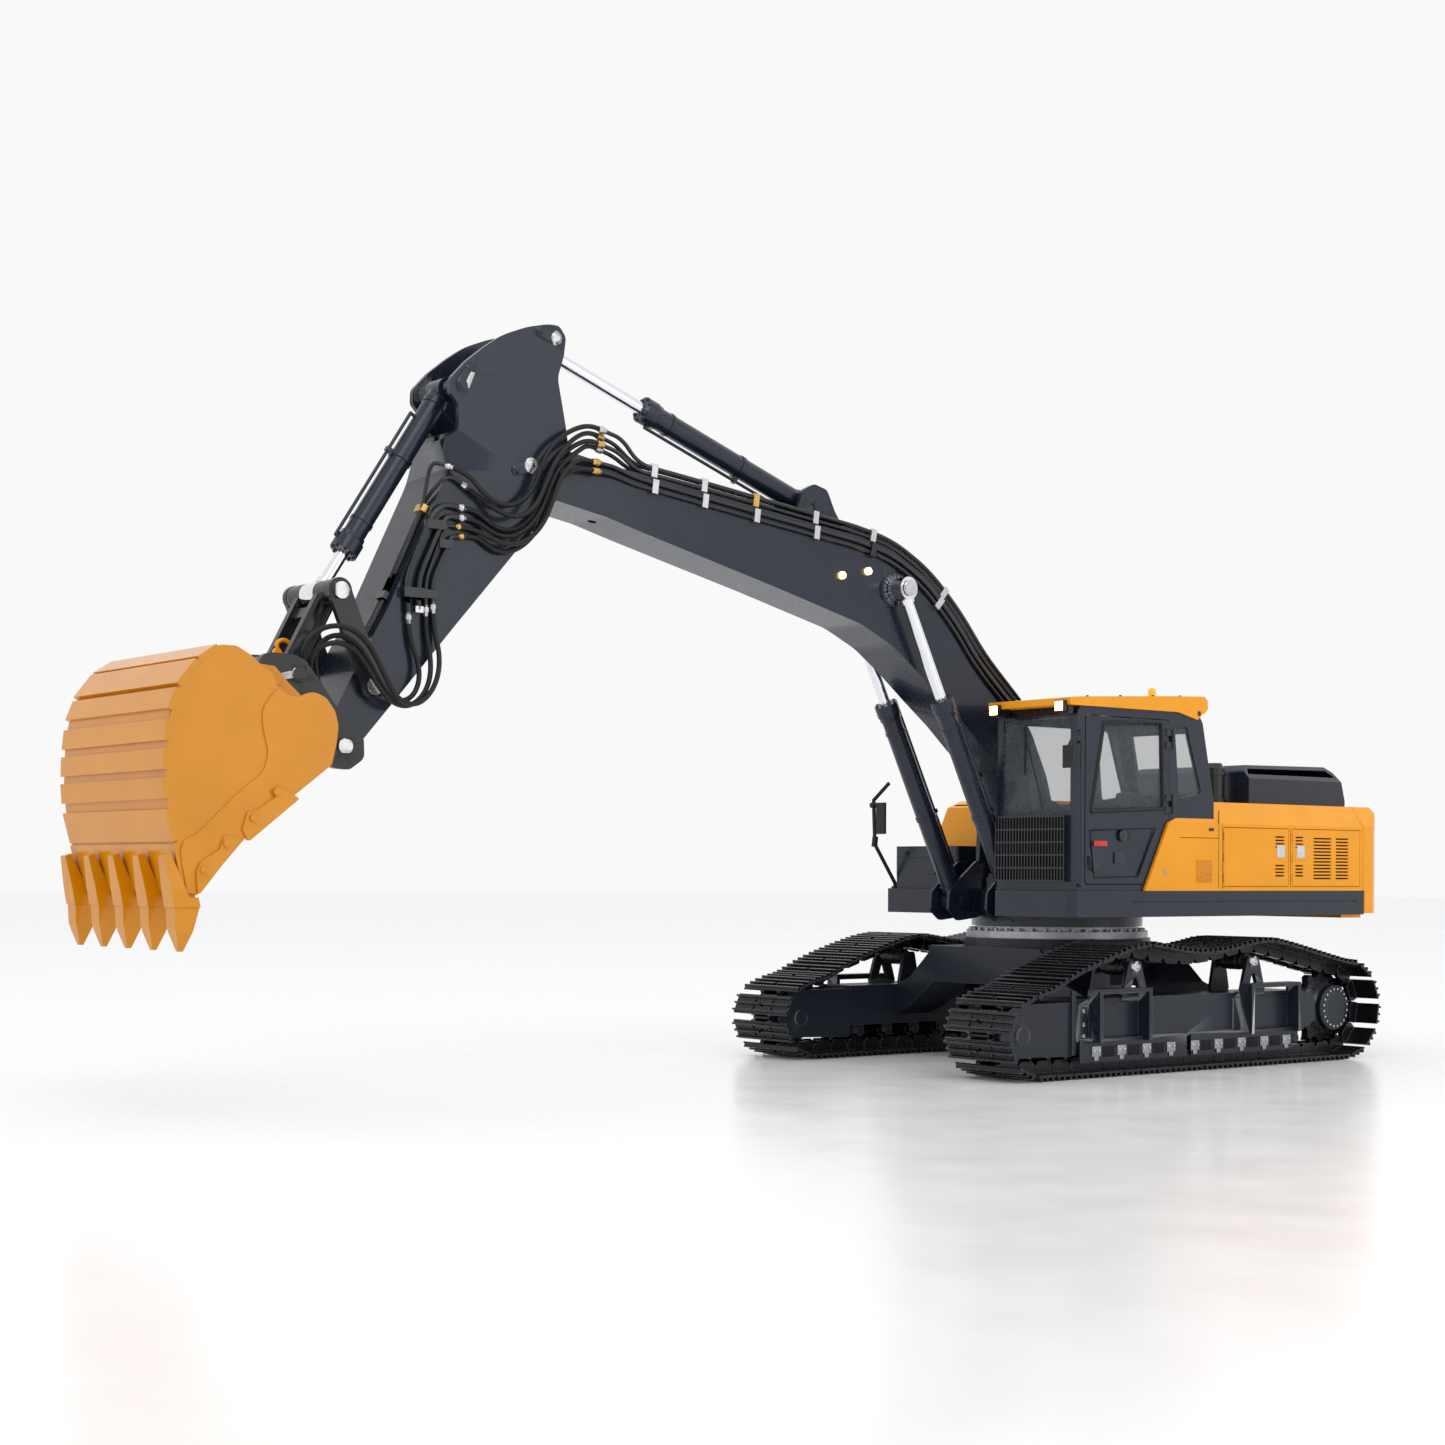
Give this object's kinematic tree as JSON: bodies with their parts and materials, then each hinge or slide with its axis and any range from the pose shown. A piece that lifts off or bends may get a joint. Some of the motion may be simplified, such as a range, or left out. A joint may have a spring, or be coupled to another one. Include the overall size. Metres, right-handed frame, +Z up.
{
  "type": "rc excavator",
  "caption": "Radio-control hydraulic crawler excavator: two tracks, slewing upper body with cab, engine housing and counterweight, boom, stick, cylinders and a coupled digging bucket.",
  "frame": {"origin": "on the ground plane under the slew ring, on the axis that the upper body turns about", "axes": "+Z up along the slew axis, -Y forwards to the bucket, +Y to the counterweight, +X to the machine's left side, where the cab stands"},
  "size_m": [0.3, 1.0411, 0.4912],
  "materials": {
    "navy_paint": "semi-gloss dark blue-grey paint",
    "yellow_paint": "semi-gloss yellow-orange paint",
    "bucket_paint": "gloss deep yellow paint",
    "black_steel": "satin black paint",
    "track_steel": "dark phosphated steel",
    "bright_steel": "turned bright steel",
    "chrome_rod": "polished chrome",
    "window_glass": "lightly tinted clear glass",
    "amber_lens": "amber translucent plastic",
    "lamp_black": "black housings with clear lenses",
    "black_plastic": "matt black plastic",
    "hose_rubber": "black reinforced rubber",
    "seat_vinyl": "black seat cover",
    "aluminium_part": "machined aluminium",
    "battery_wrap": "blue shrink wrap"
  },
  "bodies": {
    "undercarriage": {"car_body": "navy_paint", "slew_ring": "bright_steel", "track_frame_left": "navy_paint", "track_frame_right": "navy_paint", "track_chain_left": "track_steel", "track_chain_right": "track_steel", "track_rollers": "track_steel"},
    "idler_left_body": {"idler_left": "track_steel"},
    "idler_right_body": {"idler_right": "track_steel"},
    "sprocket_left_body": {"sprocket_left": "track_steel"},
    "sprocket_right_body": {"sprocket_right": "track_steel"},
    "carrier_left_front_body": {"carrier_roller_left_front": "navy_paint"},
    "carrier_left_rear_body": {"carrier_roller_left_rear": "navy_paint"},
    "carrier_right_front_body": {"carrier_roller_right_front": "navy_paint"},
    "carrier_right_rear_body": {"carrier_roller_right_rear": "navy_paint"},
    "upper": {"upper_frame": "navy_paint", "counterweight": "yellow_paint", "body_housing_left": "yellow_paint", "body_housing_right": "yellow_paint", "engine_hood": "navy_paint", "exhaust_stack": "black_steel", "battery_pack": "battery_wrap", "hydraulic_pump": "aluminium_part", "valve_block": "aluminium_part", "cab_shell": "navy_paint", "cab_roof": "yellow_paint", "cab_windows": "window_glass", "cab_seat": "seat_vinyl", "cab_controls": "black_plastic", "front_guard_grille": "black_steel", "beacon": "amber_lens", "mirror_left": "black_plastic", "mirror_right": "black_plastic", "cab_lamps": "lamp_black", "tool_box": "yellow_paint"},
    "cab_door_body": {"cab_door": "navy_paint", "cab_door_glass": "window_glass"},
    "service_door_front_body": {"service_door_front": "yellow_paint"},
    "service_door_rear_body": {"service_door_rear": "yellow_paint"},
    "boom_body": {"boom": "navy_paint", "boom_pipes": "navy_paint", "boom_lamps": "lamp_black", "hoses_boom_to_stick": "hose_rubber"},
    "boom_rod_left_body": {"boom_cylinder_rod_left": "chrome_rod"},
    "boom_rod_right_body": {"boom_cylinder_rod_right": "chrome_rod"},
    "boom_barrel_left_body": {"boom_cylinder_barrel_left": "navy_paint"},
    "boom_barrel_right_body": {"boom_cylinder_barrel_right": "navy_paint"},
    "stick_body": {"stick": "navy_paint", "stick_pipes": "navy_paint", "hoses_stick_to_coupler": "hose_rubber"},
    "stick_rod_body": {"stick_cylinder_rod": "chrome_rod"},
    "stick_barrel_body": {"stick_cylinder_barrel": "navy_paint"},
    "rocker_body": {"rocker_arms": "black_steel"},
    "link_body": {"h_link": "black_steel"},
    "bucket_rod_body": {"bucket_cylinder_rod": "chrome_rod"},
    "bucket_barrel_body": {"bucket_cylinder_barrel": "navy_paint"},
    "bucket_body": {"quick_coupler": "black_steel", "lifting_hook": "yellow_paint", "bucket": "bucket_paint", "bucket_teeth": "bucket_paint"}
  },
  "joints": [
    {"name": "slew", "type": "hinge", "parent": "undercarriage", "child": "upper", "pos_m": [0, 0, 0.106], "axis": [0, 0, 1], "continuous": true},
    {"name": "idler_left_spin", "type": "hinge", "parent": "undercarriage", "child": "idler_left_body", "pos_m": [0.118, -0.175, 0.0305], "axis": [1, 0, 0], "continuous": true},
    {"name": "idler_right_spin", "type": "hinge", "parent": "undercarriage", "child": "idler_right_body", "pos_m": [-0.118, -0.175, 0.0305], "axis": [1, 0, 0], "continuous": true},
    {"name": "sprocket_left_spin", "type": "hinge", "parent": "undercarriage", "child": "sprocket_left_body", "pos_m": [0.118, 0.1705, 0.039], "axis": [1, 0, 0], "continuous": true},
    {"name": "sprocket_right_spin", "type": "hinge", "parent": "undercarriage", "child": "sprocket_right_body", "pos_m": [-0.118, 0.1705, 0.039], "axis": [1, 0, 0], "continuous": true},
    {"name": "carrier_left_front_spin", "type": "hinge", "parent": "undercarriage", "child": "carrier_left_front_body", "pos_m": [0.118, -0.062, 0.0757], "axis": [1, 0, 0], "continuous": true},
    {"name": "carrier_left_rear_spin", "type": "hinge", "parent": "undercarriage", "child": "carrier_left_rear_body", "pos_m": [0.118, 0.07, 0.077], "axis": [1, 0, 0], "continuous": true},
    {"name": "carrier_right_front_spin", "type": "hinge", "parent": "undercarriage", "child": "carrier_right_front_body", "pos_m": [-0.118, -0.062, 0.0757], "axis": [1, 0, 0], "continuous": true},
    {"name": "carrier_right_rear_spin", "type": "hinge", "parent": "undercarriage", "child": "carrier_right_rear_body", "pos_m": [-0.118, 0.07, 0.077], "axis": [1, 0, 0], "continuous": true},
    {"name": "cab_door_hinge", "type": "hinge", "parent": "upper", "child": "cab_door_body", "pos_m": [0.1209, -0.005, 0.2], "axis": [0, 0, 1], "range_deg": [0, 95]},
    {"name": "service_door_front_hinge", "type": "hinge", "parent": "upper", "child": "service_door_front_body", "pos_m": [0.122, 0.0522, 0.157], "axis": [0, 0, 1], "range_deg": [-90, 0]},
    {"name": "service_door_rear_hinge", "type": "hinge", "parent": "upper", "child": "service_door_rear_body", "pos_m": [0.122, 0.1337, 0.157], "axis": [0, 0, 1], "range_deg": [-90, 0]},
    {"name": "boom_pivot", "type": "hinge", "parent": "upper", "child": "boom_body", "pos_m": [0, -0.042, 0.184], "axis": [1, 0, 0], "range_deg": [-20, 35]},
    {"name": "stick_pivot", "type": "hinge", "parent": "boom_body", "child": "stick_body", "pos_m": [0, -0.5085, 0.3992], "axis": [1, 0, 0], "range_deg": [-20, 25], "deforming": ["hoses_boom_to_stick"]},
    {"name": "bucket_curl", "type": "hinge", "parent": "stick_body", "child": "bucket_body", "pos_m": [0, -0.6435, 0.2159], "axis": [1, 0, 0], "range_deg": [-15, 40], "deforming": ["hoses_stick_to_coupler"]},
    {"name": "boom_rod_left_pin", "type": "hinge", "parent": "boom_body", "child": "boom_rod_left_body", "pos_m": [0.03, -0.1925, 0.346], "axis": [1, 0, 0], "range_deg": [-4.5, 2.6]},
    {"name": "boom_barrel_left_slide", "type": "slide", "parent": "boom_rod_left_body", "child": "boom_barrel_left_body", "axis": [0, 0.4472, -0.8944], "range_m": [-0.0398, 0.0228]},
    {"name": "boom_rod_right_pin", "type": "hinge", "parent": "boom_body", "child": "boom_rod_right_body", "pos_m": [-0.03, -0.1925, 0.346], "axis": [1, 0, 0], "range_deg": [-4.5, 2.6]},
    {"name": "boom_barrel_right_slide", "type": "slide", "parent": "boom_rod_right_body", "child": "boom_barrel_right_body", "axis": [0, 0.4472, -0.8944], "range_m": [-0.0398, 0.0228]},
    {"name": "stick_rod_pin", "type": "hinge", "parent": "stick_body", "child": "stick_rod_body", "pos_m": [0, -0.4903, 0.483], "axis": [1, 0, 0], "range_deg": [-23.7, 18.9]},
    {"name": "stick_barrel_slide", "type": "slide", "parent": "stick_rod_body", "child": "stick_barrel_body", "axis": [0, 0.943, -0.3329], "range_m": [-0.0291, 0.0363]},
    {"name": "rocker_pivot", "type": "hinge", "parent": "stick_body", "child": "rocker_body", "pos_m": [0, -0.6239, 0.2529], "axis": [1, 0, 0], "range_deg": [-14.3, 38.1]},
    {"name": "link_pivot", "type": "hinge", "parent": "rocker_body", "child": "link_body", "pos_m": [0, -0.6465, 0.3088], "axis": [1, 0, 0], "range_deg": [-27.6, 10.4]},
    {"name": "bucket_rod_pin", "type": "hinge", "parent": "rocker_body", "child": "bucket_rod_body", "pos_m": [0, -0.6465, 0.3088], "axis": [1, 0, 0], "range_deg": [-42.7, 16.1]},
    {"name": "bucket_barrel_slide", "type": "slide", "parent": "bucket_rod_body", "child": "bucket_barrel_body", "axis": [0, 0.5431, 0.8396], "range_m": [-0.0132, 0.0351]}
  ],
  "couplings": [
    {"joint": "boom_rod_left_pin", "follows": "boom_pivot", "ratio": -0.1259},
    {"joint": "boom_barrel_left_slide", "follows": "boom_pivot", "m_per_rad": -0.06498},
    {"joint": "boom_rod_right_pin", "follows": "boom_pivot", "ratio": -0.1259},
    {"joint": "boom_barrel_right_slide", "follows": "boom_pivot", "m_per_rad": -0.06498},
    {"joint": "stick_rod_pin", "follows": "stick_pivot", "ratio": -0.9441},
    {"joint": "stick_barrel_slide", "follows": "stick_pivot", "m_per_rad": 0.08305},
    {"joint": "rocker_pivot", "follows": "bucket_curl", "ratio": 0.9506},
    {"joint": "link_pivot", "follows": "bucket_curl", "ratio": -0.6878},
    {"joint": "bucket_rod_pin", "follows": "bucket_curl", "ratio": -1.0668},
    {"joint": "bucket_barrel_slide", "follows": "bucket_curl", "m_per_rad": 0.05025}
  ]
}
